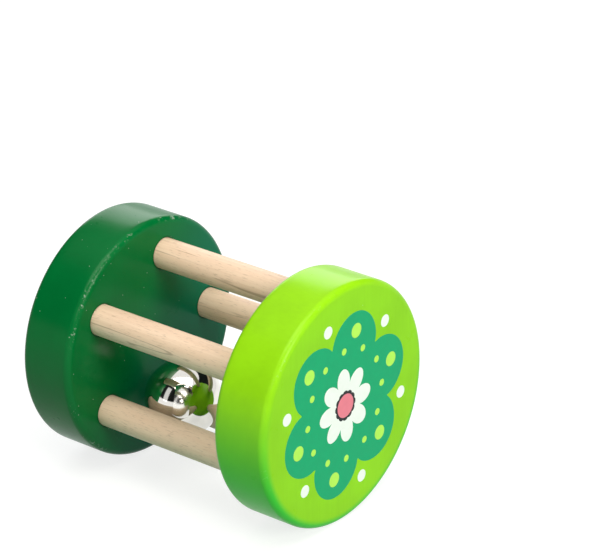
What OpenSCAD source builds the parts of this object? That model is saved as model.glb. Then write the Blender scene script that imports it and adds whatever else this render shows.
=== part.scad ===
// Wooden cage rattle: two painted discs joined by a ring of dowels, with a loose jingle bell inside.
// The rattle lies on the rims of its discs. Y runs along the cage, the front disc faces -Y, Z is up,
// and the origin is on the floor under the middle of the cage. Lengths are in millimetres.

/* [Discs] */
// Diameter of each disc
disc_d = 63; // [58:0.5:80]
// Thickness of each disc
disc_t = 15.5; // [12:0.5:20]
// Radius of the rounded disc edges
edge_r = 1.8; // [0.5:0.1:3]

/* [Dowel cage] */
// Clear length between the inner faces of the discs
cage_gap = 46; // [36:0.5:60]
// Number of dowels in the ring
dowel_count = 5; // [5:1:6]
// Diameter of each dowel
dowel_d = 8; // [7:0.25:10]
// Distance from the rim of a disc in to the circle that the dowels stand on
ring_inset = 9.5; // [8:0.25:11]
// Angle of the first dowel, from the right hand side up
dowel_turn = 76; // [74:1:90]
// Depth of each dowel socket in a disc
socket_depth = 9; // [5:0.5:11]
// Glue gap between a dowel and its socket wall
socket_clear = 0.05; // [0.02:0.01:0.15]
// Chamfer on the ends of the dowels
dowel_chamfer = 0.6; // [0.2:0.1:1.5]

/* [Bell] */
// How much wider the bell is than the gap between two dowels, so that it can't fall out
bell_catch = 1.8; // [1.5:0.1:6]
// Wall of the bell's pressed shells
bell_wall = 0.6; // [0.4:0.05:1]
// Height of the lip that the upper shell puts inside the lower one
lip_h = 1.4; // [0.8:0.1:2.5]
// Gap between the lip and the lower shell
lip_clear = 0.05; // [0.02:0.01:0.15]
// Width of the sound slots
slot_w = 1.5; // [0.8:0.1:2.5]
// Diameter of the round holes that end the slots
slot_hole_d = 2.8; // [1.6:0.1:4]
// Angle from the bottom of the bell to the slots' end holes
slot_reach = 52; // [35:1:62]
// Diameter of the loose pellet in the bell
pellet_d = 6; // [4.5:0.25:8]
// Gap between the pellet and the lip that it runs on
pellet_clear = 0.2; // [0.1:0.05:0.4]

/* [Bell hanger] */
// Width of the hanger strap
strap_w = 4.1; // [1.6:0.1:5]
// Thickness of the hanger strap
strap_t = 0.7; // [0.4:0.05:1]
// Inner radius of the strap's arch
arch_r = 3.6; // [2:0.1:4.2]
// Height of the arch's centre above the crown of the bell
arch_lift = 0; // [0:0.1:2]
// Length of the clinched feet inside the bell
foot_l = 1.6; // [1:0.1:2.2]
// Width of the trimmed feet as a share of the strap's width
foot_width_share = 0.85; // [0.6:0.05:0.95]
// Gap between the strap and its slits, and over its feet
strap_clear = 0.05; // [0.02:0.01:0.15]

/* [Bell at rest] */
// Gap between the bell and the two dowels that it lies on
bell_clear = 0.2; // [0.1:0.05:0.4]
// Gap between the bell and the back disc
bell_back_gap = 2.75; // [0.5:0.25:4]
// Lean of the hanger towards the front disc, from straight across the cage
hanger_lean = 36; // [10:1:50]
// Gap between the hanger's loop and the dowel that it points over
hanger_gap = 0.1; // [0.05:0.05:1]
// Turn of the strap about the hanger's own line
strap_turn = 172; // [0:1:180]

/* [Hidden] */
$fn = 96;
// Overrun of every cut past the face that it opens
overrun = 1;
disc_r = disc_d / 2;
dowel_r = dowel_d / 2;
ring_r = disc_r - ring_inset;
dowel_step = 360 / dowel_count;
dowel_l = cage_gap + 2 * socket_depth;
half_chord = ring_r * sin(dowel_step / 2);
bell_r = half_chord - dowel_r + bell_catch / 2;
bell_in_r = bell_r - bell_wall;
lip_out_r = bell_in_r - lip_clear;
lip_in_r = lip_out_r - bell_wall;
pellet_r = pellet_d / 2;

// The bell lies in the gap between two neighbouring dowels at the bottom of the ring
seat_angle = dowel_turn + 2.5 * dowel_step;
seat_reach = bell_r + dowel_r + bell_clear;
seat_drop = sqrt(pow(seat_reach, 2) - pow(half_chord, 2));
bell_off = ring_r * cos(dowel_step / 2) - seat_drop;
bell_y = cage_gap / 2 - bell_r - bell_back_gap;
bell_centre = [bell_off * cos(seat_angle), bell_y, disc_r + bell_off * sin(seat_angle)];
pellet_drop = lip_in_r - pellet_r - pellet_clear;

// The strap's legs stand either side of the bell's crown and its feet lie along the inside of the shell
arch_z = bell_r + arch_lift;
arch_out_r = arch_r + strap_t;
leg_x = arch_r + strap_t / 2;
foot_in_r = sqrt(pow(bell_in_r, 2) - pow(strap_w / 2, 2)) - strap_clear;
foot_z = sqrt(pow(foot_in_r, 2) - pow(foot_l / 2, 2));
foot_slope = asin((leg_x + foot_l / 2) / foot_z);
leg_end_z = (foot_z - strap_t / 2) * cos(foot_slope) + foot_l / 2 * sin(foot_slope);

// The hanger points over the left one of the bell's two dowels, just so high that its loop clears it
loop_reach = norm([arch_out_r, strap_w / 2]);
loop_span = arch_z * cos(hanger_lean);
loop_off = dowel_r + loop_reach + hanger_gap;
loop_rise_cos = (pow(loop_span, 2) + pow(seat_reach, 2) - pow(loop_off, 2)) / (2 * loop_span * seat_reach);
loop_angle = seat_angle - atan2(half_chord, seat_drop) - acos(min(1, loop_rise_cos));
hanger_tilt = asin(cos(hanger_lean) * sin(loop_angle));
hanger_turn = atan2(-sin(hanger_lean), cos(hanger_lean) * cos(loop_angle));

disc_colours = ["#86dc2c", "#046b35"];
wood_colour = "#ecd0ac";
nickel_colour = "#c9c9c6";
steel_colour = "#8d8f92";

function dowel_name(i) = str("dowel_", i);
function dowel_angle(i) = dowel_turn + (i - 1) * dowel_step;

// Stands its children along the cage: local +Z points to the front disc, local +Y points up
module along_cage() {
    translate([0, 0, disc_r]) rotate([90, 0, 0]) children();
}

// Puts its child at dowel i's place in the ring
module at_dowel(i) {
    rotate([0, 0, dowel_angle(i)]) translate([ring_r, 0, 0]) rotate([0, 0, -dowel_angle(i)]) children();
}

// Half section of a disc, from its axis out, with both rims rounded
module disc_section() {
    square([disc_r - edge_r, disc_t]);
    translate([0, edge_r]) square([disc_r, disc_t - 2 * edge_r]);
    for (z = [edge_r, disc_t - edge_r])
        translate([disc_r - edge_r, z]) circle(edge_r);
}

// A disc with its inner face at local Z = 0, growing along +Z, drilled for the dowels
module drilled_disc() {
    difference() {
        rotate_extrude() intersection() {
            disc_section();
            square([disc_r, disc_t]);
        }
        for (i = [1 : dowel_count])
            at_dowel(i)
                translate([0, 0, -overrun])
                    cylinder(h = socket_depth + overrun, r = dowel_r + socket_clear);
    }
}

module front_disc() {
    color(disc_colours[0]) along_cage() translate([0, 0, cage_gap / 2]) drilled_disc();
}

module back_disc() {
    color(disc_colours[1]) along_cage() mirror([0, 0, 1]) translate([0, 0, cage_gap / 2]) drilled_disc();
}

// A dowel reaches the floor of its socket in each disc
module dowel(i) {
    color(wood_colour) along_cage() at_dowel(i) translate([0, 0, -dowel_l / 2])
        rotate_extrude() polygon([
            [0, 0],
            [dowel_r - dowel_chamfer, 0],
            [dowel_r, dowel_chamfer],
            [dowel_r, dowel_l - dowel_chamfer],
            [dowel_r - dowel_chamfer, dowel_l],
            [0, dowel_l]
        ]);
}

// Puts the bell where it rests: its local +Z is the line of the hanger
module at_bell() {
    translate(bell_centre)
        rotate([0, 90 - hanger_tilt, hanger_turn])
            rotate([0, 0, strap_turn])
                children();
}

// Half section of a thin sphere between two radii, for the heights from low to high
module shell_section(outer_r, inner_r, low, high) {
    intersection() {
        difference() {
            circle(outer_r);
            circle(inner_r);
        }
        translate([0, low]) square([outer_r, high - low]);
    }
}

// The crown of the bell, with the lip that enters the lower shell and two slits for the hanger
module bell_upper_shell() {
    color(nickel_colour) at_bell() difference() {
        rotate_extrude() {
            shell_section(bell_r, bell_in_r, 0, bell_r);
            shell_section(bell_in_r + bell_wall / 2, lip_in_r, 0, lip_h);
            shell_section(lip_out_r, lip_in_r, -lip_h, lip_h);
        }
        for (side = [-1, 1])
            translate([side * leg_x, 0, bell_r])
                cube([strap_t + 2 * strap_clear, strap_w + 2 * strap_clear, bell_r], center = true);
    }
}

// The bowl of the bell, with crossed sound slots that end in round holes
module bell_lower_shell() {
    color(nickel_colour) at_bell() difference() {
        rotate_extrude() shell_section(bell_r, bell_in_r, -bell_r, 0);
        for (turn = [0, 90]) rotate([0, 0, turn]) {
            slot_half = bell_in_r * sin(slot_reach);
            translate([-slot_half, -slot_w / 2, -bell_r - overrun])
                cube([2 * slot_half, slot_w, bell_r + overrun - bell_in_r * cos(slot_reach)]);
            for (side = [-1, 1])
                rotate([0, 180 + side * slot_reach, 0])
                    cylinder(h = bell_r + overrun, d = slot_hole_d);
        }
    }
}

// Side view of the strap without its feet: an arch on two legs
module strap_section() {
    difference() {
        union() {
            translate([0, arch_z]) circle(arch_out_r);
            translate([-arch_out_r, leg_end_z]) square([2 * arch_out_r, arch_z - leg_end_z]);
        }
        translate([0, arch_z]) circle(arch_r);
        translate([-arch_r, arch_z - arch_out_r - overrun]) square([2 * arch_r, arch_out_r + overrun]);
    }
}

// A flat strap bent to an arch, with its ends clinched outwards under the crown
module bell_hanger() {
    color(nickel_colour) at_bell() {
        rotate([90, 0, 0]) linear_extrude(height = strap_w, center = true) strap_section();
        for (side = [-1, 1])
            rotate([0, side * foot_slope, 0])
                translate([0, 0, foot_z - strap_t / 2])
                    cube([foot_l, foot_width_share * strap_w, strap_t], center = true);
    }
}

module bell_pellet() {
    color(steel_colour) translate(bell_centre - [0, 0, pellet_drop]) sphere(pellet_r);
}

front_disc();
back_disc();
for (i = [1 : dowel_count])
    dowel(i);
bell_upper_shell();
bell_lower_shell();
bell_hanger();
bell_pellet();
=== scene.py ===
"""Looks of the wooden cage rattle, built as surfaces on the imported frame."""
import math
from typing import NamedTuple

import bmesh
import bpy
import numpy as np
from bpy.props import (
    FloatProperty,
    FloatVectorProperty,
    IntProperty,
    PointerProperty,
)
from mathutils import Euler, Matrix, Vector


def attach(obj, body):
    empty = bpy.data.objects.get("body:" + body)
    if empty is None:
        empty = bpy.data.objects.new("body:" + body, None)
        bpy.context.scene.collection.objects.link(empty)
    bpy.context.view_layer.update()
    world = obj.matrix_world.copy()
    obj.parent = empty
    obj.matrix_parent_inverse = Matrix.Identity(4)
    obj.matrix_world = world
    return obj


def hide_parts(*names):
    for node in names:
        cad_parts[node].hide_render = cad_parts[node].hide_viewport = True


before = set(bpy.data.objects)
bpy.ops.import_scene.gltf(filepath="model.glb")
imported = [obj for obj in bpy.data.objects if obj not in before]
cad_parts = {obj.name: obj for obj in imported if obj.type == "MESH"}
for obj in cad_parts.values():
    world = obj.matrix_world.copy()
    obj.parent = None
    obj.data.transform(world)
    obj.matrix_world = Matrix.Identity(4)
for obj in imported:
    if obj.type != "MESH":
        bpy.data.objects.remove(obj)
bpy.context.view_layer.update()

bl_info = {
    "name": "Cage rattle",
    "version": (1, 0, 0),
    "blender": (4, 5, 0),
    "location": "3D View > Sidebar > Rattle",
    "description": "Builds a wooden cage rattle with a jingle bell as surfaces",
    "category": "Add Mesh",
}

MM = 0.001
TAU = 2 * math.pi

# Points closer than this are welded, in metres
WELD = 2e-7
# Edges turned further than this stay sharp, in degrees
SHARP = 35
INK_SHARP = 5
# Points round the rods and balls, and round the bell
ROD_STEPS = 64
BELL_STEPS = 128


def length(name, description, millimetres):
    """A length property, given in millimetres."""
    return FloatProperty(
        name=name, description=description, default=millimetres * MM,
        min=0, precision=5, subtype="DISTANCE", unit="LENGTH",
    )


def angle(name, description, degrees):
    """An angle property, given in degrees."""
    return FloatProperty(
        name=name, description=description, default=math.radians(degrees),
        subtype="ANGLE", unit="ROTATION",
    )


def colour(name, description, rgb):
    """A linear colour property."""
    return FloatVectorProperty(
        name=name, description=description, default=rgb, size=3,
        min=0, max=1, subtype="COLOR",
    )


class RattleSizes(bpy.types.PropertyGroup):
    """Sizes of the rattle"""

    disc_d: length("Disc diameter", "Diameter of each disc", 63)
    disc_t: length("Disc thickness", "Thickness of each disc", 15.5)
    edge_r: length("Edge radius", "Radius of the rounded disc edges", 1.8)
    cage_gap: length("Cage gap", "Clear length between the discs", 46)
    dowel_d: length("Dowel diameter", "Diameter of each dowel", 8)
    dowel_count: IntProperty(
        name="Dowels", description="Number of dowels", default=5, min=3, max=9
    )
    dowel_turn: angle("First dowel", "Angle of the first dowel from +X up", 76)
    ring_inset: length("Ring inset", "Rim to dowel circle", 9.5)
    socket_depth: length("Socket depth", "Depth of the dowel sockets", 9)
    socket_clear: length("Socket gap", "Glue gap round a dowel", 0.05)
    socket_round: length("Socket mouth", "Rounding of the socket mouths", 0.25)
    dowel_chamfer: length("Dowel chamfer", "Chamfer on the dowel ends", 0.6)
    bell_catch: length("Bell catch", "Bell width over the dowel gap", 1.8)
    bell_clear: length("Bell gap", "Gap between bell and dowels", 0.2)
    bell_back_gap: length("Bell to back", "Gap from bell to back disc", 2.75)
    bell_wall: length("Bell wall", "Thickness of the bell's shells", 0.6)
    lip_h: length("Lip height", "Height of the lip between shells", 1.4)
    lip_clear: length("Lip gap", "Gap outside the lip", 0.05)
    seam_r: length("Seam rounding", "Rounding of the shells' rims", 0.16)
    slot_w: length("Slot width", "Width of the bell's slots", 1.5)
    slot_hole_d: length("Slot holes", "Diameter of the slots' end holes", 2.8)
    slot_reach: angle("Slot reach", "Bell bottom to slot end holes", 52)
    strap_w: length("Strap width", "Width of the hanger strap", 4.1)
    strap_t: length("Strap thickness", "Thickness of the strap", 0.7)
    arch_r: length("Arch radius", "Inner radius of the hanger", 3.6)
    arch_lift: length("Arch lift", "Arch centre above the crown", 0)
    foot_l: length("Foot length", "Length of the clinched feet", 1.6)
    strap_clear: length("Strap gap", "Gap over the strap's feet", 0.05)
    hanger_lean: angle("Hanger lean", "Lean towards the front disc", 36)
    hanger_gap: length("Hanger gap", "Gap from the loop to its dowel", 0.1)
    strap_turn: angle("Strap turn", "Turn of the strap", 172)
    pellet_d: length("Pellet diameter", "Diameter of the pellet", 6)
    pellet_clear: length("Pellet gap", "Gap under the pellet", 0.2)
    ink_t: length("Ink thickness", "Thickness of one printed layer", 0.03)


class RattleColours(bpy.types.PropertyGroup):
    """Colours of the rattle"""

    front: colour("Front paint", "Paint of the front disc", (0.27, 0.62, 0.008))
    back: colour("Back paint", "Paint of the back disc", (0.0002, 0.128, 0.027))
    # Painted shade tints: the front paint turns darker and bluer green on its lower rim, and the
    # back paint turns bluer towards its lower right
    front_shade_tint: colour("Cool front paint", "Front paint near the floor", (0.02, 0.5, 0.04))
    back_shade_tint: colour("Cool back paint", "Back paint to the right", (0.0, 0.13, 0.07))
    beech_pale: colour("Pale beech", "Pale wood", (0.82, 0.63, 0.475))
    beech_dark: colour("Dark beech", "Streaks in the wood", (0.67, 0.45, 0.305))
    nickel: colour("Nickel", "Plating of the bell", (0.82, 0.80, 0.75))
    steel: colour("Steel", "The pellet", (0.45, 0.45, 0.46))
    teal: colour("Teal ink", "Large printed flower", (0.002, 0.34, 0.145))
    white: colour("White ink", "Printed daisy", (0.85, 0.85, 0.84))
    charcoal: colour("Charcoal ink", "Dark dots", (0.02, 0.02, 0.024))
    pink: colour("Pink ink", "Pink dots", (0.78, 0.20, 0.27))
    pale: colour("Pale ink", "Pale green dots", (0.45, 0.80, 0.10))


class Plan:
    """Sizes that follow from the ones above, in metres."""

    def __init__(self, s):
        """Works out the ring of dowels and the place of the resting bell."""
        self.disc_r = s.disc_d / 2
        self.dowel_r = s.dowel_d / 2
        self.ring_r = self.disc_r - s.ring_inset
        self.step = TAU / s.dowel_count
        half_chord = self.ring_r * math.sin(self.step / 2)
        self.bell_r = half_chord - self.dowel_r + s.bell_catch / 2
        reach = self.bell_r + self.dowel_r + s.bell_clear
        sag = math.sqrt(reach**2 - half_chord**2)
        off = self.ring_r * math.cos(self.step / 2) - sag
        seat = s.dowel_turn + (s.dowel_count // 2 + 0.5) * self.step
        self.bell_at = Vector((
            off * math.cos(seat),
            s.cage_gap / 2 - self.bell_r - s.bell_back_gap,
            self.disc_r + off * math.sin(seat),
        ))
        span = (self.bell_r + s.arch_lift) * math.cos(s.hanger_lean)
        loop = math.hypot(s.arch_r + s.strap_t, s.strap_w / 2)
        apart = self.dowel_r + loop + s.hanger_gap
        rise_cos = (span**2 + reach**2 - apart**2) / (2 * span * reach)
        around = seat - math.atan2(half_chord, sag) - math.acos(min(1, rise_cos))
        across = math.cos(s.hanger_lean)
        tilt = math.asin(across * math.sin(around))
        turn = math.atan2(-math.sin(s.hanger_lean), across * math.cos(around))
        self.bell_matrix = (
            Matrix.Translation(self.bell_at)
            @ Euler((0, math.pi / 2 - tilt, turn)).to_matrix().to_4x4()
            @ Matrix.Rotation(s.strap_turn, 4, "Z")
        )
        self.bell_in_r = self.bell_r - s.bell_wall
        self.lip_out_r = self.bell_in_r - s.lip_clear
        self.lip_in_r = self.lip_out_r - s.bell_wall
        self.pellet_r = s.pellet_d / 2
        drop = self.lip_in_r - self.pellet_r - s.pellet_clear
        self.pellet_at = self.bell_at - Vector((0, 0, drop))

    def dowel_angle(self, s, i):
        """Angle of dowel i, counted from 0."""
        return s.dowel_turn + i * self.step


def settings():
    """The size group, the colour group and the plan of the open scene."""
    scene = bpy.context.scene
    sizes = scene.rattle_sizes
    return sizes, scene.rattle_colours, Plan(sizes)


# Surfaces


def grid_faces(rows, cols, wrap=False):
    """Quads of a grid of points stored row by row, closed across columns when wrap is set."""
    i, j = np.meshgrid(
        np.arange(rows - 1), np.arange(cols if wrap else cols - 1), indexing="ij"
    )
    k = (j + 1) % cols
    quads = np.stack(
        [i * cols + j, i * cols + k, (i + 1) * cols + k, (i + 1) * cols + j], axis=-1
    )
    return quads.reshape(-1, 4)


def arc(centre, radius, start, stop, count):
    """Points on a circular arc in a half section, as (distance from axis, height)."""
    t = np.radians(np.linspace(start, stop, count))
    return np.stack(
        [centre[0] + radius * np.cos(t), centre[1] + radius * np.sin(t)], axis=-1
    )


def revolved(profile, angles):
    """Turns a half section about local Z.

    The point is (r cos a, r sin a, h) for each profile point (r, h) and angle a."""
    r, h = profile[:, 0, None], profile[:, 1, None]
    points = np.stack(
        [r * np.cos(angles), r * np.sin(angles), h + 0 * angles], axis=-1
    )
    return points.reshape(-1, 3), grid_faces(len(profile), len(angles), True)


def joined(parts):
    """Several (points, quads) surfaces as one."""
    points, quads, start = [], [], 0
    for p, q in parts:
        points.append(p)
        quads.append(q + start)
        start += len(p)
    return np.concatenate(points), np.concatenate(quads)


def new_piece(name, points, quads, material, sharp=SHARP, closed=True):
    """Makes an object at the origin from points and quads.

    Seams and poles are welded, and a closed surface has its faces turned outward."""
    mesh = bpy.data.meshes.new(name)
    mesh.from_pydata(points.tolist(), [], quads.tolist())
    bm = bmesh.new()
    bm.from_mesh(mesh)
    bmesh.ops.remove_doubles(bm, verts=bm.verts, dist=WELD)
    bmesh.ops.dissolve_degenerate(bm, edges=bm.edges, dist=WELD / 2)
    if closed:
        bmesh.ops.recalc_face_normals(bm, faces=bm.faces)
    bm.to_mesh(mesh)
    bm.free()
    mesh.polygons.foreach_set("use_smooth", np.ones(len(mesh.polygons), bool))
    mesh.set_sharp_from_angle(angle=math.radians(sharp))
    mesh.materials.append(material)
    piece = bpy.data.objects.new(name, mesh)
    bpy.context.scene.collection.objects.link(piece)
    return piece


def placed(points, matrix):
    """Points moved by a 4 by 4 matrix."""
    m = np.array(matrix)
    return points @ m[:3, :3].T + m[:3, 3]


def mesh_points(mesh):
    """The mesh's own points as an array."""
    points = np.empty(len(mesh.vertices) * 3, np.float32)
    mesh.vertices.foreach_get("co", points)
    return points.reshape(-1, 3)


def set_vectors(mesh, name, vectors):
    """Keeps one vector for each point as a named attribute."""
    layer = mesh.attributes.new(name, "FLOAT_VECTOR", "POINT")
    layer.data.foreach_set("vector", np.ascontiguousarray(vectors, np.float32).ravel())


def finish_piece(piece, body, slot, *nodes):
    """Hangs a piece on its body and hides the nodes that it stands for; its slot is not used."""
    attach(piece, body)
    if nodes:
        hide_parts(*nodes)


def disc_surface(s, plan):
    """A drilled disc with its inner face at local Z = 0.

    Inner face and sockets: for each dowel, lines run from the socket's floor up its wall,
    round its mouth and out to the border of that dowel's sector. Rim and outer face: a half
    section turned about the axis through the same border points."""
    half = plan.step / 2
    flat_r = plan.disc_r - s.edge_r
    hole_r = plan.dowel_r + s.socket_clear
    across = np.linspace(-half, half, 49)
    inward = np.linspace(flat_r, 0, 25)[1:]
    border = np.concatenate([
        flat_r * np.exp(1j * across),
        inward * np.exp(1j * half),
        inward[-2::-1] * np.exp(-1j * half),
    ])
    out = (border - plan.ring_r) / np.abs(border - plan.ring_r)
    mouth = arc((hole_r + s.socket_round, s.socket_round), s.socket_round, 180, 270, 6)
    mouth_r = np.concatenate([[0, hole_r * 0.5, hole_r, hole_r], mouth[:, 0]])
    depth = np.concatenate([
        [s.socket_depth, s.socket_depth, s.socket_depth, s.socket_depth * 0.5],
        mouth[:, 1],
    ])
    ring = plan.ring_r + mouth_r[:, None] * out
    share = np.linspace(0, 1, 13)[1:, None] ** 1.4
    face = ring[-1] + share * (border - ring[-1])
    rows = np.concatenate([ring, face])
    height = np.concatenate([depth, np.zeros(len(face))])[:, None] + 0 * rows.real
    quads = grid_faces(len(rows), len(border), True)
    parts, angles = [], []
    for i in range(s.dowel_count):
        turn = plan.dowel_angle(s, i)
        sector = rows * np.exp(1j * turn)
        points = np.stack([sector.real, sector.imag, height], axis=-1)
        parts.append((points.reshape(-1, 3), quads))
        angles.append(turn + across[:-1])
    inner_edge = arc((flat_r, s.edge_r), s.edge_r, -90, 0, 13)
    outer_edge = arc((flat_r, s.disc_t - s.edge_r), s.edge_r, 0, 90, 13)
    cap_r = np.linspace(flat_r, 0, 9)[1:]
    cap = np.stack([cap_r, np.full(len(cap_r), s.disc_t)], axis=-1)
    rim = np.linspace(inner_edge[-1], outer_edge[0], 7)[1:-1]
    profile = np.concatenate([inner_edge, rim, outer_edge, cap])
    parts.append(revolved(profile, np.concatenate(angles)))
    return joined(parts)


def along_cage(points, s, plan, side):
    """Local disc space to the row frame.

    Local X stays, local Y points up, and local Z leaves the middle of the cage."""
    x, y, z = points.T
    return np.stack([x, side * (s.cage_gap / 2 + z), plan.disc_r + y], axis=-1)


def dowel_surface(s, plan):
    """A chamfered rod along local Z, turned from its half section."""
    r, c = plan.dowel_r, s.dowel_chamfer
    half = s.cage_gap / 2 + s.socket_depth
    body = np.linspace(c - half, half - c, 33)
    body = np.stack([np.full(len(body), r), body], axis=-1)
    profile = np.concatenate([
        [[0, -half], [r - c, -half]], body, [[r - c, half], [0, half]]
    ])
    return revolved(profile, np.linspace(0, TAU, ROD_STEPS, endpoint=False))


def upper_shell_surface(s, plan):
    """The bell's crown, turned about Z.

    Its half section is the outer dome, the rounded rim, the lip and the inner dome."""
    rim = arc((plan.bell_r - s.seam_r, s.seam_r), s.seam_r, 0, -90, 6)
    start = math.degrees(math.asin(s.seam_r / plan.bell_r))
    dome = arc((0, 0), plan.bell_r, 90, start, 61)
    inner_start = math.degrees(math.asin(s.lip_h / plan.lip_in_r))
    lip = arc((0, 0), plan.lip_out_r, 0, -inner_start, 5)
    lip_back = arc((0, 0), plan.lip_in_r, -inner_start, inner_start, 9)
    inside = arc((0, 0), plan.bell_in_r, inner_start, 90, 31)
    profile = np.concatenate([dome, rim[1:], lip, lip_back, inside])
    profile[0, 0] = profile[-1, 0] = 0
    return revolved(profile, np.linspace(0, TAU, BELL_STEPS, endpoint=False))


def lower_shell_surface(s, plan):
    """Outer skin of the bell's bowl as four petals between crossed slots.

    At angle t from the bottom each petal spans the turn from f(t) to 90 degrees less f(t).
    There f is the larger of the slot's and the end hole's half width, and zero past the hole."""
    hole = math.asin(s.slot_hole_d / 2 / plan.bell_r)
    reach = s.slot_reach
    tip = math.asin(s.slot_w / 2 / plan.bell_r / math.sin(math.pi / 4))
    first = reach - hole * 0.999
    near = tip + (first - tip) * np.linspace(0, 1, 24) ** 1.3
    through = reach + hole * np.sin(np.linspace(-math.pi / 2, math.pi / 2, 41))
    rim_t = math.pi / 2 - s.seam_r / plan.bell_r
    beyond = np.linspace(reach + hole, rim_t, 16)[1:]
    t = np.concatenate([near, through[1:], beyond])
    slot = np.arcsin(np.clip(s.slot_w / 2 / plan.bell_r / np.sin(t), 0, 1))
    slot = np.where(t < reach, slot, 0)
    chord = math.cos(hole) - np.cos(t) * math.cos(reach)
    round_f = np.arccos(np.clip(chord / (np.sin(t) * math.sin(reach)), -1, 1))
    f = np.maximum(slot, np.where(np.abs(t - reach) <= hole, round_f, 0))
    f[-len(beyond):] = 0
    roll = np.linspace(0, math.pi / 2, 6)[1:]
    radius = np.concatenate([
        plan.bell_r * np.sin(t),
        plan.bell_r * math.sin(rim_t) - s.seam_r * (1 - np.cos(roll)),
    ])
    height = np.concatenate([
        -plan.bell_r * np.cos(t),
        -plan.bell_r * math.cos(rim_t) + s.seam_r * np.sin(roll),
    ])
    f = np.concatenate([f, np.zeros(len(roll))])[:, None]
    span = np.linspace(0, 1, 33)
    parts = []
    for quarter in range(4):
        turn = quarter * math.pi / 2 + f + span * (math.pi / 2 - 2 * f)
        points = np.stack([
            radius[:, None] * np.cos(turn),
            radius[:, None] * np.sin(turn),
            height[:, None] + 0 * turn,
        ], axis=-1)
        parts.append((points.reshape(-1, 3), grid_faces(len(f), len(span))))
    return joined(parts)


def strap_surface(s, plan):
    """The hanger: a strip with a domed outside, swept along a path in local XZ.

    The path is foot, bend, leg and half circle, and the same again mirrored. Across the strip the
    outside falls off with the square of the distance from its middle."""
    knee_share = 0.36
    dome_share = 0.88
    bend_low, bend_high = 0.1 * MM, 0.6 * MM
    mid = s.arch_r + s.strap_t / 2
    top = plan.bell_r + s.arch_lift
    reach = math.sqrt(plan.bell_in_r**2 - (s.strap_w / 2) ** 2) - s.strap_clear
    foot_z = math.sqrt(reach**2 - (s.foot_l / 2) ** 2) - s.strap_t / 2
    slope = math.asin((mid + s.foot_l / 2) / (foot_z + s.strap_t / 2))
    along = np.array([math.cos(slope), -math.sin(slope)])
    foot_mid = foot_z * np.array([math.sin(slope), math.cos(slope)])
    tip = foot_mid + along * s.foot_l / 2
    knee = foot_mid - along * s.foot_l * knee_share
    ease = np.linspace(0, 1, 9)[1:, None]
    corner = np.array([mid, knee[1] + bend_low])
    after = np.array([mid, knee[1] + bend_high])
    bend = (1 - ease) ** 2 * knee + 2 * ease * (1 - ease) * corner + ease**2 * after
    leg = np.linspace(after, [mid, top], 5)[1:]
    side = np.concatenate([np.linspace(tip, knee, 4), bend, leg])
    turn = np.radians(np.linspace(0, 180, 41))[1:-1]
    arch = np.stack([mid * np.cos(turn), top + mid * np.sin(turn)], axis=-1)
    path = np.concatenate([side, arch, side[::-1] * [-1, 1]])
    tangent = np.gradient(path, axis=0)
    tangent /= np.linalg.norm(tangent, axis=1, keepdims=True)
    normal = np.stack([tangent[:, 1], -tangent[:, 0]], axis=-1)
    share = np.linspace(-1, 1, 21)
    under = share[::-5]
    v = s.strap_w / 2 * np.concatenate([share, under])
    u = s.strap_t * np.concatenate([0.5 - dome_share * share**2, np.full(len(under), -0.5)])
    x = path[:, 0, None] + normal[:, 0, None] * u
    z = path[:, 1, None] + normal[:, 1, None] * u
    points = np.stack([x, v + 0 * x, z], axis=-1)
    first, last = (row.mean(axis=1, keepdims=True) for row in (points[:1], points[-1:]))
    points = np.concatenate([
        np.repeat(first, len(u), axis=1), points, np.repeat(last, len(u), axis=1)
    ])
    return points.reshape(-1, 3), grid_faces(len(points), len(u), True)


def ball_surface(radius, centre):
    """A sphere from its half circle turned about Z."""
    profile = arc((0, 0), radius, -90, 90, 33)
    profile[0, 0] = profile[-1, 0] = 0
    points, quads = revolved(profile, np.linspace(0, TAU, ROD_STEPS, endpoint=False))
    return points + np.array(centre), quads


class Patch(NamedTuple):
    """A printed patch: centre and radius in millimetres, layer, petals, their depth and turn."""

    centre: tuple
    radius: float
    layer: int
    lobes: int = 1
    depth: float = 0
    turn: float = 0


def ink_surface(patch, s):
    """A thin film whose edge at angle a is radius (1 - depth + depth |cos(lobes a / 2)| ^ 0.7).

    Lines run from the middle of the underside out to the edge, up one film thickness and in
    again to the middle."""
    steps = 48 * patch.lobes
    roundness = 0.7
    inset = 0.04 * MM
    a = np.linspace(0, TAU, steps, endpoint=False)
    petal = np.abs(np.cos(patch.lobes * (a - patch.turn) / 2)) ** roundness
    edge = patch.radius * MM * (1 - patch.depth + patch.depth * petal)
    x, y = np.array(patch.centre) * MM
    low, high = (patch.layer - 1) * s.ink_t, patch.layer * s.ink_t
    shares = np.array([0, 1, 1, 1, 0.75, 0.5, 0.25, 0])
    insets = np.array([0, 0, 0.3, 1, 1, 1, 1, 0])
    heights = np.array([low, low, high - s.ink_t / 3, high, high, high, high, high])
    r = shares[:, None] * edge - insets[:, None] * inset
    points = np.stack(
        [x + r * np.cos(a), y + r * np.sin(a), heights[:, None] + 0 * r], axis=-1
    )
    return points.reshape(-1, 3), grid_faces(len(r), steps, True)


def ring_of(count, radius, turn=0.0):
    """Centres of patches spread evenly on a circle."""
    a = turn + np.arange(count) * TAU / count
    return np.stack([radius * np.cos(a), radius * np.sin(a)], axis=-1)


# Materials


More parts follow.
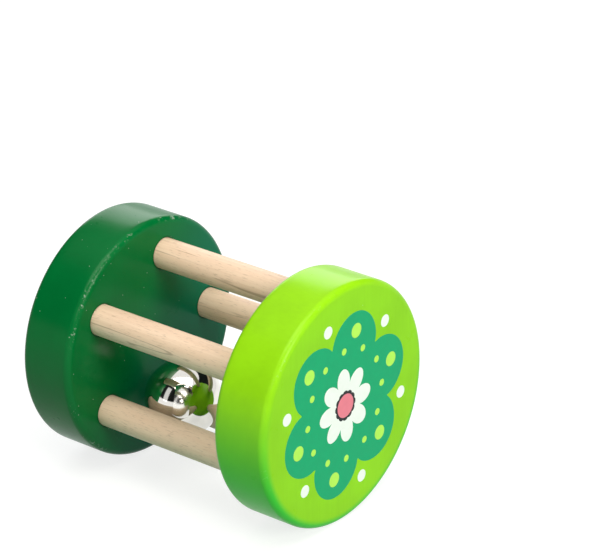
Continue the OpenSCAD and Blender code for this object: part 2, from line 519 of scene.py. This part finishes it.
class Nodes:
    """Short form of building a material's nodes."""

    def __init__(self, name):
        """Starts an empty material with a shader on its output."""
        self.material = bpy.data.materials.new(name)
        self.material.use_nodes = True
        self.tree = self.material.node_tree
        self.tree.nodes.clear()
        self.shader = self.tree.nodes.new("ShaderNodeBsdfPrincipled")
        output = self.tree.nodes.new("ShaderNodeOutputMaterial")
        self.tree.links.new(self.shader.outputs["BSDF"], output.inputs["Surface"])

    def put(self, socket, value):
        """Links a socket, or sets its value."""
        if isinstance(value, bpy.types.NodeSocket):
            self.tree.links.new(value, socket)
        elif hasattr(value, "__len__") and len(value) == 3 and len(socket.default_value) == 4:
            socket.default_value = (*value, 1)
        else:
            socket.default_value = value

    def set(self, **values):
        """Sets the shader's own sockets, with _ for a space in their names."""
        for key, value in values.items():
            self.put(self.shader.inputs[key.replace("_", " ")], value)

    def add(self, kind, inputs=(), **options):
        """A node of a kind, with its options and its inputs by name or number."""
        node = self.tree.nodes.new("ShaderNode" + kind)
        for key, value in options.items():
            setattr(node, key, value)
        for key, value in dict(inputs).items():
            self.put(node.inputs[key], value)
        return node

    def math(self, operation, a, b=0.0, c=0.0, clamp=False):
        """One arithmetic step."""
        return self.add(
            "Math", {0: a, 1: b, 2: c}, operation=operation, use_clamp=clamp
        ).outputs[0]

    def times(self, *values):
        """Product of two or more values."""
        product = values[0]
        for value in values[1:]:
            product = self.math("MULTIPLY", product, value)
        return product

    def hypot(self, a, b):
        """Square root of the sum of two squares."""
        return self.math("SQRT", self.math("ADD", self.times(a, a), self.times(b, b)))

    def stretched(self, where, factors):
        """A place with each of its axes multiplied by a factor."""
        return self.add(
            "VectorMath", {0: where, 1: factors}, operation="MULTIPLY"
        ).outputs[0]

    def place(self):
        """Object coordinates in millimetres."""
        coordinates = self.add("TexCoord").outputs["Object"]
        return self.stretched(coordinates, (1 / MM, 1 / MM, 1 / MM))

    def noise(self, where, scale, detail=4.0, rough=0.55, distort=0.0):
        """Noise from 0 to 1 over a place in millimetres, with scale per millimetre."""
        return self.add("TexNoise", {
            "Vector": where, "Scale": scale, "Detail": detail,
            "Roughness": rough, "Distortion": distort,
        }).outputs["Fac"]

    def ramp(self, value, low, high):
        """A smooth step from 0 to 1 as a value goes from low to high."""
        return self.add(
            "MapRange", {"Value": value, "From Min": low, "From Max": high},
            interpolation_type="SMOOTHSTEP",
        ).outputs["Result"]

    def mix(self, share, a, b):
        """Colour between a and b."""
        node = self.add("Mix", data_type="RGBA")
        self.put(node.inputs["Factor"], share)
        self.put(node.inputs[6], a)
        self.put(node.inputs[7], b)
        return node.outputs[2]

    def bump(self, height, strength, distance, normal=None):
        """Surface relief, with its distance in metres."""
        inputs = {"Height": height, "Strength": strength, "Distance": distance}
        if normal is not None:
            inputs["Normal"] = normal
        return self.add("Bump", inputs).outputs["Normal"]


def tinted(rgb, factor):
    """A colour made darker or paler by a factor."""
    return tuple(min(1.0, c * factor) for c in rgb)


class PaintLook(NamedTuple):
    """How a disc's paint differs from the other disc's."""

    side: int
    wear: float
    dust: float
    # The last two fields place the painted shade tint: the way it grows, and the radius from the
    # axis beyond which it lies
    toward: tuple
    shade_from: float


def worn_edges(n, where, out, y, s, plan, look):
    """Share of bare edge: near the middle of both rounded edges, in scuffs here and there."""
    middle_share = 0.3
    edge_out = (plan.disc_r - s.edge_r * middle_share) / MM
    edge_in = (s.disc_t / 2 - s.edge_r * middle_share) / MM
    middle = look.side * (s.cage_gap + s.disc_t) / 2 / MM
    off_r = n.math("SUBTRACT", out, edge_out)
    off_y = n.math("SUBTRACT", n.math("ABSOLUTE", n.math("SUBTRACT", y, middle)), edge_in)
    near_edge = n.ramp(n.hypot(off_r, off_y), low=0.9, high=0.1)
    bite = 0.1 * look.wear
    scratches = n.noise(where, scale=0.9, detail=6, rough=0.7)
    scuff = n.ramp(scratches, low=0.6 - bite, high=0.74 - bite)
    stretch = n.ramp(n.noise(where, scale=0.06, detail=2), low=0.45, high=0.62)
    worn = n.times(near_edge, scuff, stretch)
    return n.math("MULTIPLY", worn, look.wear, clamp=True)


def dust_specks(n, where, dust):
    """Small round specks in a random few of the cells."""
    cells = n.add("TexVoronoi", {"Vector": where, "Scale": 0.75}, feature="F1")
    pick = n.add("SeparateColor", {0: cells.outputs["Color"]}).outputs[0]
    chosen = n.math("GREATER_THAN", pick, 1 - dust)
    return n.times(n.ramp(cells.outputs["Distance"], low=0.13, high=0.05), chosen)


def socket_shade_and_pooling(n, x, up, out, y, s, plan):
    """Painted shade, with some paint pooling, in rings round the dowels on the inner faces, by
    the cosine rule for the nearest dowel.
    """
    around = n.math("SUBTRACT", n.math("ARCTAN2", up, x), s.dowel_turn - plan.step / 2)
    around = n.math("SUBTRACT", n.math("WRAP", around, plan.step, 0), plan.step / 2)
    ring, dowel_r = plan.ring_r / MM, plan.dowel_r / MM
    toward = n.times(out, n.math("COSINE", around), 2 * ring)
    squared = n.math("SUBTRACT", n.math("MULTIPLY_ADD", out, out, ring * ring), toward)
    to_dowel = n.math("SQRT", n.math("MAXIMUM", squared, 0))
    # Painted shade and paint pooling, strongest at the dowel
    shade_and_pooling = n.ramp(to_dowel, low=dowel_r + 0.9, high=dowel_r + 0.2)
    inside = n.math("LESS_THAN", n.math("ABSOLUTE", y), s.cage_gap / 2 / MM + 0.3)
    return n.times(shade_and_pooling, inside)


def paint_material(name, rgb, shade_rgb, s, plan, look):
    """Sprayed gloss paint on wood: soft mottling, grain that shows through, wear and dust.

    The paint turns to a painted shade tint along look.toward, outside a given radius from the
    axis, and has painted shade, with some paint pooling, round the dowels."""
    n = Nodes(name)
    where = n.place()
    x, y, z = (n.add("SeparateXYZ", {0: where}).outputs[i] for i in range(3))
    up = n.math("SUBTRACT", z, plan.disc_r / MM)
    out = n.hypot(x, up)
    fibres = n.stretched(where, (1, 0.3, 0.045))
    grain = n.noise(fibres, scale=1.3, detail=5, rough=0.6, distort=0.4)
    cloud = n.noise(where, scale=0.07, detail=3)
    shade = n.math("ADD", n.times(grain, 0.05), n.times(cloud, 0.14))
    base = n.mix(n.ramp(shade, low=0.05, high=0.15), tinted(rgb, 0.9), tinted(rgb, 1.06))
    # Painted shade tint: the paint turns darker and bluer towards one side, past a radius from
    # the axis
    along = n.math("MULTIPLY_ADD", x, look.toward[0], n.times(up, look.toward[1]))
    beyond = n.ramp(out, low=look.shade_from - 1, high=look.shade_from + 1)
    base = n.mix(n.times(n.ramp(along, low=-14, high=16), beyond, 0.9), base, shade_rgb)
    worn = worn_edges(n, where, out, y, s, plan, look)
    pale = tuple(0.5 * c + 0.5 for c in rgb)
    base = n.mix(worn, base, pale)
    base = n.mix(n.times(dust_specks(n, where, look.dust), 0.5), base, pale)
    # Painted shade, with some paint pooling: darker rings round the dowels
    base = n.mix(n.times(socket_shade_and_pooling(n, x, up, out, y, s, plan), 0.45), base, tinted(rgb, 0.35))
    smear = n.noise(where, scale=0.16, detail=4, rough=0.6)
    rough = n.math("MULTIPLY_ADD", smear, 0.16, 0.22)
    rough = n.math("ADD", rough, n.times(worn, 0.3))
    peel = n.noise(where, scale=1.1, detail=2, rough=0.5)
    normal = n.bump(grain, strength=0.12, distance=0.1 * MM)
    normal = n.bump(peel, strength=0.10, distance=0.08 * MM, normal=normal)
    n.set(
        Base_Color=base, Roughness=rough, Normal=normal, IOR=1.48, Specular_IOR_Level=0.03,
        Coat_Weight=0.2, Coat_Roughness=0.2, Coat_IOR=1.46,
    )
    return n.material


def ink_material(name, rgb):
    """Screen-printed ink: nearly even colour, fine mottling, mesh marks and a satin surface."""
    n = Nodes(name)
    where = n.place()
    mottle = n.noise(where, scale=0.5, detail=5, rough=0.65)
    base = n.mix(n.ramp(mottle, low=0.3, high=0.72), tinted(rgb, 0.97), tinted(rgb, 1.02))
    mesh = n.noise(where, scale=3.5, detail=2)
    n.set(
        Base_Color=base, Roughness=n.math("MULTIPLY_ADD", mottle, 0.14, 0.3),
        Normal=n.bump(mesh, strength=0.08, distance=0.04 * MM), IOR=1.46,
        Specular_IOR_Level=0.15,
    )
    return n.material


def beech_material(name, pale, dark):
    """Sanded beech along the attribute grain.

    Broad streaks and fine lines set the tone; fibres, short dark ray flecks and a few growth
    rings lie over it."""
    n = Nodes(name)
    where = n.add("Attribute", attribute_name="grain").outputs["Vector"]
    broad = n.noise(
        n.stretched(where, (1, 1, 0.05)), scale=0.32, detail=3, rough=0.5, distort=0.3
    )
    lines = n.noise(
        n.stretched(where, (1, 0.25, 0.022)), scale=1.9, detail=4, rough=0.55, distort=0.25
    )
    fibre = n.noise(n.stretched(where, (1, 1, 0.06)), scale=5.0, detail=3, rough=0.6)
    fleck = n.noise(n.stretched(where, (1, 1, 0.1)), scale=4.8, detail=1, rough=0.4)
    fleck = n.ramp(fleck, low=0.6, high=0.7)
    tone = n.math("ADD", n.times(broad, 0.5), n.times(lines, 0.5))
    tone = n.ramp(tone, low=0.36, high=0.68)
    ring = n.noise(
        n.stretched(where, (1, 0.3, 0.03)), scale=0.45, detail=2, rough=0.4, distort=0.2
    )
    ring = n.math("ABSOLUTE", n.math("SUBTRACT", ring, 0.56))
    ring = n.ramp(ring, low=0.011, high=0.002)
    few = n.noise(n.stretched(where, (1, 1, 0.3)), scale=0.15, detail=1)
    few = n.ramp(few, low=0.45, high=0.6)
    base = n.mix(n.times(tone, 0.55), pale, dark)
    base = n.mix(n.times(fibre, 0.22), base, tinted(dark, 0.9))
    base = n.mix(n.times(fleck, 0.48), base, tinted(dark, 0.66))
    base = n.mix(n.times(ring, few, 0.6), base, tinted(dark, 0.5))
    normal = n.bump(fibre, strength=0.25, distance=0.06 * MM)
    normal = n.bump(n.times(fleck, -1), strength=0.25, distance=0.08 * MM, normal=normal)
    n.set(
        Base_Color=base, Roughness=n.math("MULTIPLY_ADD", fibre, 0.18, 0.46),
        Normal=normal, Specular_IOR_Level=0.25,
    )
    return n.material


def metal_material(name, rgb, rough, scratch):
    """Plated metal: slightly uneven tint, smudges in its gloss and fine hair scratches."""
    n = Nodes(name)
    where = n.place()
    cloud = n.noise(where, scale=0.18, detail=4, rough=0.6)
    base = n.mix(n.ramp(cloud, low=0.35, high=0.7), tinted(rgb, 0.9), rgb)
    hair = n.stretched(where, (1, 0.08, 0.9))
    hair = n.ramp(n.noise(hair, scale=7, detail=2, rough=0.6, distort=1.2), low=0.66, high=0.72)
    gloss = n.math("MULTIPLY_ADD", cloud, rough, rough * 0.6)
    gloss = n.math("MULTIPLY_ADD", hair, scratch, gloss)
    dent = n.noise(where, scale=0.12, detail=1)
    normal = n.bump(dent, strength=0.25, distance=0.2 * MM)
    normal = n.bump(hair, strength=0.03, distance=0.03 * MM, normal=normal)
    n.set(Base_Color=base, Metallic=1.0, Roughness=gloss, Normal=normal)
    return n.material


def floor_material():
    """Plain studio floor with a trace of unevenness.

    It is white to camera, gloss and glass, and a grey green in the light that it throws back."""
    n = Nodes("studio_floor")
    tone = n.noise(n.place(), scale=0.004, detail=2)
    path = n.add("LightPath")
    shown = n.math("ADD", path.outputs["Is Camera Ray"], path.outputs["Is Glossy Ray"])
    shown = n.math("ADD", shown, path.outputs["Is Transmission Ray"], clamp=True)
    seen = n.mix(tone, (0.27, 0.28, 0.28), (0.29, 0.3, 0.3))
    n.set(
        Base_Color=n.mix(shown, (0.17, 0.38, 0.31), seen),
        Roughness=0.9, Specular_IOR_Level=0.0,
        Emission_Color=(1, 1, 1), Emission_Strength=n.times(shown, 0.78),
    )
    return n.material


def screen_material():
    """Matt black cloth."""
    n = Nodes("studio_screen")
    weave = n.noise(n.place(), scale=0.02, detail=2)
    n.set(Base_Color=n.mix(weave, (0.02, 0.02, 0.02), (0.04, 0.04, 0.04)), Roughness=0.95)
    return n.material


# Operators


class RATTLE_OT_discs(bpy.types.Operator):
    """Builds the two painted discs"""

    bl_idname = "rattle.discs"
    bl_label = "Build discs"

    def execute(self, context):
        """Makes the drilled disc once for each end of the cage."""
        s, colours, plan = settings()
        points, quads = disc_surface(s, plan)
        rim_from = (plan.disc_r - s.edge_r) / MM
        # Painted shade tint: on the front disc's lower rim, and over the back disc towards its
        # lower right
        looks = {
            "front": PaintLook(side=-1, wear=0.3, dust=0.01, toward=(0, -1), shade_from=rim_from),
            "back": PaintLook(side=1, wear=0.7, dust=0.12, toward=(0.85, -0.53), shade_from=0),
        }
        for end, look in looks.items():
            rgb = tuple(getattr(colours, end))
            # The second paint colour is the painted shade tint
            shade_rgb = tuple(getattr(colours, end + "_shade_tint"))
            material = paint_material(end + "_paint", rgb, shade_rgb, s, plan, look)
            at_end = along_cage(points, s, plan, look.side)
            piece = new_piece(end + "_disc_look", at_end, quads, material)
            finish_piece(piece, "cage", end + "_paint", end + "_disc")
        return {"FINISHED"}


def printed_patches():
    """The patches of each ink, from the large flower up to its heart."""
    petals, turn, middle = 6, 0.3, (0, 0)
    sector = TAU / petals
    return {
        "teal": [Patch(middle, radius=24, layer=1, lobes=petals, depth=0.3, turn=turn)],
        "white": [Patch(middle, radius=10, layer=2, lobes=8, depth=0.42, turn=0.1)]
        + [Patch(c, radius=1.6, layer=1) for c in ring_of(petals, 23, turn + sector / 2)],
        "pale": [Patch(c, radius=1.9, layer=2) for c in ring_of(petals, 19, turn)]
        + [Patch(c, radius=0.9, layer=2) for c in ring_of(2 * petals, 14.6, turn + sector / 4)],
        "charcoal": [Patch(middle, radius=4, layer=3, lobes=12, depth=0.1)],
        "pink": [Patch(middle, radius=3.1, layer=4)],
    }


class RATTLE_OT_print(bpy.types.Operator):
    """Builds the printed flower on the front disc"""

    bl_idname = "rattle.print"
    bl_label = "Build print"

    def execute(self, context):
        """Makes one piece for each ink, from petals and dots."""
        s, colours, plan = settings()
        for ink, patches in printed_patches().items():
            points, quads = joined([ink_surface(patch, s) for patch in patches])
            points[:, 2] += s.disc_t
            points = along_cage(points, s, plan, -1)
            material = ink_material("ink_" + ink, tuple(getattr(colours, ink)))
            piece = new_piece("print_" + ink, points, quads, material, sharp=INK_SHARP)
            finish_piece(piece, "cage", "front_paint")
        return {"FINISHED"}


# Where each dowel is cut from the wood: turn in radians, and step from one cut to the next
FIRST_CUT = 0.7
CUT_TURN = 2.3
CUT_STEP = np.array([37, 11, 190])


class RATTLE_OT_dowels(bpy.types.Operator):
    """Builds the beech dowels"""

    bl_idname = "rattle.dowels"
    bl_label = "Build dowels"

    def execute(self, context):
        """Makes each dowel, with its own cut through the wood as the attribute grain."""
        s, colours, plan = settings()
        material = beech_material("beech", colours.beech_pale, colours.beech_dark)
        points, quads = dowel_surface(s, plan)
        for i in range(s.dowel_count):
            turn = plan.dowel_angle(s, i)
            at = np.array([
                plan.ring_r * math.cos(turn), 0, plan.disc_r + plan.ring_r * math.sin(turn)
            ])
            name = f"dowel_{i + 1}"
            piece = new_piece(name + "_look", points[:, [0, 2, 1]] + at, quads, material)
            local = (mesh_points(piece.data) - at) / MM
            cut = CUT_TURN * i + FIRST_CUT
            across = local[:, 0] * math.cos(cut) + local[:, 2] * math.sin(cut)
            deep = local[:, 2] * math.cos(cut) - local[:, 0] * math.sin(cut)
            grain = np.stack([across, deep, local[:, 1]], axis=-1) + i * CUT_STEP
            set_vectors(piece.data, "grain", grain)
            finish_piece(piece, "cage", "beech", name)
        return {"FINISHED"}


class RATTLE_OT_bell(bpy.types.Operator):
    """Builds the bell's shells and hanger"""

    bl_idname = "rattle.bell"
    bl_label = "Build bell"

    def execute(self, context):
        """Makes the crown, the slotted bowl and the strap, all in the bell's own frame."""
        s, colours, plan = settings()
        plate = metal_material("nickel", tuple(colours.nickel), rough=0.05, scratch=0.05)
        satin = metal_material(
            "nickel_strap", tinted(colours.nickel, 1.12), rough=0.2, scratch=0.05
        )
        points, quads = upper_shell_surface(s, plan)
        piece = new_piece(
            "bell_upper_look", placed(points, plan.bell_matrix), quads, plate
        )
        finish_piece(piece, "bell", "nickel", "bell_upper_shell")
        points, quads = lower_shell_surface(s, plan)
        piece = new_piece(
            "bell_lower_look", placed(points, plan.bell_matrix), quads, plate, closed=False
        )
        wall = piece.modifiers.new("wall", "SOLIDIFY")
        wall.thickness = s.bell_wall
        wall.offset = -1
        finish_piece(piece, "bell", "nickel", "bell_lower_shell")
        points, quads = strap_surface(s, plan)
        piece = new_piece(
            "bell_hanger_look", placed(points, plan.bell_matrix), quads, satin
        )
        finish_piece(piece, "bell", "nickel", "bell_hanger")
        return {"FINISHED"}


class RATTLE_OT_pellet(bpy.types.Operator):
    """Builds the steel pellet"""

    bl_idname = "rattle.pellet"
    bl_label = "Build pellet"

    def execute(self, context):
        """Makes the ball at the bottom of the bell."""
        s, colours, plan = settings()
        material = metal_material(
            "pellet_steel", tuple(colours.steel), rough=0.3, scratch=0.1
        )
        points, quads = ball_surface(plan.pellet_r, plan.pellet_at)
        piece = new_piece("bell_pellet_look", points, quads, material)
        finish_piece(piece, "pellet", "pellet_steel", "bell_pellet")
        return {"FINISHED"}


# The soft lights: name, place, width and height, watts, colour, and whether gloss shows them
LIGHTS = (
    ("key", (-0.25, -0.2, 0.95), (0.9, 0.6), 7.5, (1, 0.95, 0.87), True),
    ("front", (-0.2, -1.0, 0.6), (0.6, 0.4), 8, (1, 0.96, 0.88), True),
    ("side", (-0.9, 0.25, 0.45), (0.25, 0.7), 0.4, (1, 1, 1), True),
    ("fill", (-0.75, -0.5, 0.5), (0.2, 0.2), 1.2, (1, 0.96, 0.9), True),
    ("low", (-0.9, -0.4, 0.1), (0.5, 0.2), 1.2, (1, 0.94, 0.88), False),
    ("right", (0.35, -0.8, 0.2), (0.5, 0.3), 1.5, (1, 0.96, 0.9), False),
    ("back", (0.75, 0.62, 0.45), (0.8, 0.5), 5.5, (1, 1, 1), True),
)
LIGHTS_AIM = (0, 0, 0.03)
# Radii of the rings of the floor, in metres
FLOOR_RINGS = (3.0, 0.5, 0.0)
FLOOR_STEPS = 64
# A dark ring round the studio that only gloss shows: radius in metres, edges in degrees up
SCREEN_R = 2.2
SCREEN_LOW, SCREEN_HIGH = 10, 50
# Colour of the room, and its strength below and above the ceiling's edge by the height of the ray
ROOM_RGB = (0.85, 0.95, 1)
CEILING_FROM, CEILING_TO = 0.55, 0.9
WALLS, CEILING = 0.03, 0.45
# The camera: place and line of sight in metres, lens and sensor in millimetres
CAMERA_AT = (-0.51994, -0.43677, 0.36545)
CAMERA_LINE = (0.7126, 0.5649, -0.4160)
CAMERA_CLIP = (0.01, 20)
LENS = 182.7
SENSOR = 36


def area_light(name, place, size, power, rgb, mirrored):
    """A rectangular soft light that points at the rattle, shown in gloss or not."""
    data = bpy.data.lights.new(name, "AREA")
    data.shape = "RECTANGLE"
    data.size, data.size_y = size
    data.energy = power
    data.color = rgb
    light = bpy.data.objects.new(name, data)
    light.location = place
    light.visible_glossy = mirrored
    line = Vector(LIGHTS_AIM) - Vector(place)
    light.rotation_euler = line.to_track_quat("-Z", "Y").to_euler()
    bpy.context.scene.collection.objects.link(light)


def studio_world():
    """White to camera, gloss and glass; a dark room with a dim ceiling to all other light."""
    world = bpy.data.worlds.new("studio")
    world.use_nodes = True
    tree = world.node_tree
    tree.nodes.clear()
    kinds = ("OutputWorld", "MixShader", "Background", "Background", "LightPath",
             "TexCoord", "SeparateXYZ", "MapRange", "Math", "Math")
    out, mix, seen, room, path, where, split, rise, either, shown = (
        tree.nodes.new("ShaderNode" + kind) for kind in kinds
    )
    rise.interpolation_type = "SMOOTHSTEP"
    either.use_clamp = shown.use_clamp = True
    limits = {
        "From Min": CEILING_FROM, "From Max": CEILING_TO, "To Min": WALLS, "To Max": CEILING
    }
    for socket, value in limits.items():
        rise.inputs[socket].default_value = value
    seen.inputs["Color"].default_value = (1, 1, 1, 1)
    room.inputs["Color"].default_value = (*ROOM_RGB, 1)
    links = (
        (where.outputs["Generated"], split.inputs[0]),
        (split.outputs["Z"], rise.inputs["Value"]),
        (rise.outputs["Result"], room.inputs["Strength"]),
        (path.outputs["Is Camera Ray"], either.inputs[0]),
        (path.outputs["Is Glossy Ray"], either.inputs[1]),
        (either.outputs[0], shown.inputs[0]),
        (path.outputs["Is Transmission Ray"], shown.inputs[1]),
        (shown.outputs[0], mix.inputs[0]),
        (room.outputs[0], mix.inputs[1]),
        (seen.outputs[0], mix.inputs[2]),
        (mix.outputs[0], out.inputs["Surface"]),
    )
    for start, end in links:
        tree.links.new(start, end)
    return world


class RATTLE_OT_stage(bpy.types.Operator):
    """Builds floor, lights, world and camera"""

    bl_idname = "rattle.stage"
    bl_label = "Build stage"

    def execute(self, context):
        """Sets a white studio round the rattle and the camera that took the photo."""
        scene = context.scene
        a = np.linspace(0, TAU, FLOOR_STEPS, endpoint=False)
        r = np.array(FLOOR_RINGS)
        points, quads = revolved(np.stack([r, 0 * r], axis=-1), a)
        floor = new_piece("floor", points, quads, floor_material(), closed=False)
        points, quads = revolved(arc((0, 0), SCREEN_R, SCREEN_LOW, SCREEN_HIGH, 21), a)
        screen = new_piece("screen", points, quads, screen_material(), closed=False)
        screen.visible_camera = screen.visible_diffuse = screen.visible_shadow = False
        for light in LIGHTS:
            area_light(*light)
        scene.world = studio_world()
        data = bpy.data.cameras.new("camera")
        data.sensor_width = SENSOR
        data.lens = LENS
        data.clip_start, data.clip_end = CAMERA_CLIP
        camera = bpy.data.objects.new("camera", data)
        camera.location = CAMERA_AT
        camera.rotation_euler = Vector(CAMERA_LINE).to_track_quat("-Z", "Y").to_euler()
        scene.collection.objects.link(camera)
        scene.camera = camera
        scene.view_settings.view_transform = "Standard"
        return {"FINISHED"}


class RATTLE_PT_panel(bpy.types.Panel):
    """Lists the rattle's steps, sizes and colours"""

    bl_label = "Cage rattle"
    bl_idname = "RATTLE_PT_panel"
    bl_space_type = "VIEW_3D"
    bl_region_type = "UI"
    bl_category = "Rattle"

    def draw(self, context):
        """Draws one button for each step and one field for each property."""
        for operator in OPERATORS:
            self.layout.operator(operator.bl_idname)
        for group in (context.scene.rattle_sizes, context.scene.rattle_colours):
            for key in group.__annotations__:
                self.layout.prop(group, key)


OPERATORS = (
    RATTLE_OT_discs,
    RATTLE_OT_print,
    RATTLE_OT_dowels,
    RATTLE_OT_bell,
    RATTLE_OT_pellet,
    RATTLE_OT_stage,
)
CLASSES = (RattleSizes, RattleColours, *OPERATORS, RATTLE_PT_panel)


def register():
    """Registers the classes and the scene's property groups."""
    for cls in CLASSES:
        bpy.utils.register_class(cls)
    bpy.types.Scene.rattle_sizes = PointerProperty(type=RattleSizes)
    bpy.types.Scene.rattle_colours = PointerProperty(type=RattleColours)


def unregister():
    """Takes away what register added."""
    del bpy.types.Scene.rattle_colours
    del bpy.types.Scene.rattle_sizes
    for cls in reversed(CLASSES):
        bpy.utils.unregister_class(cls)


def main():
    """Builds every piece and the stage."""
    register()
    bpy.ops.rattle.discs()
    bpy.ops.rattle.print()
    bpy.ops.rattle.dowels()
    bpy.ops.rattle.bell()
    bpy.ops.rattle.pellet()
    bpy.ops.rattle.stage()


if __name__ == "__main__":
    main()
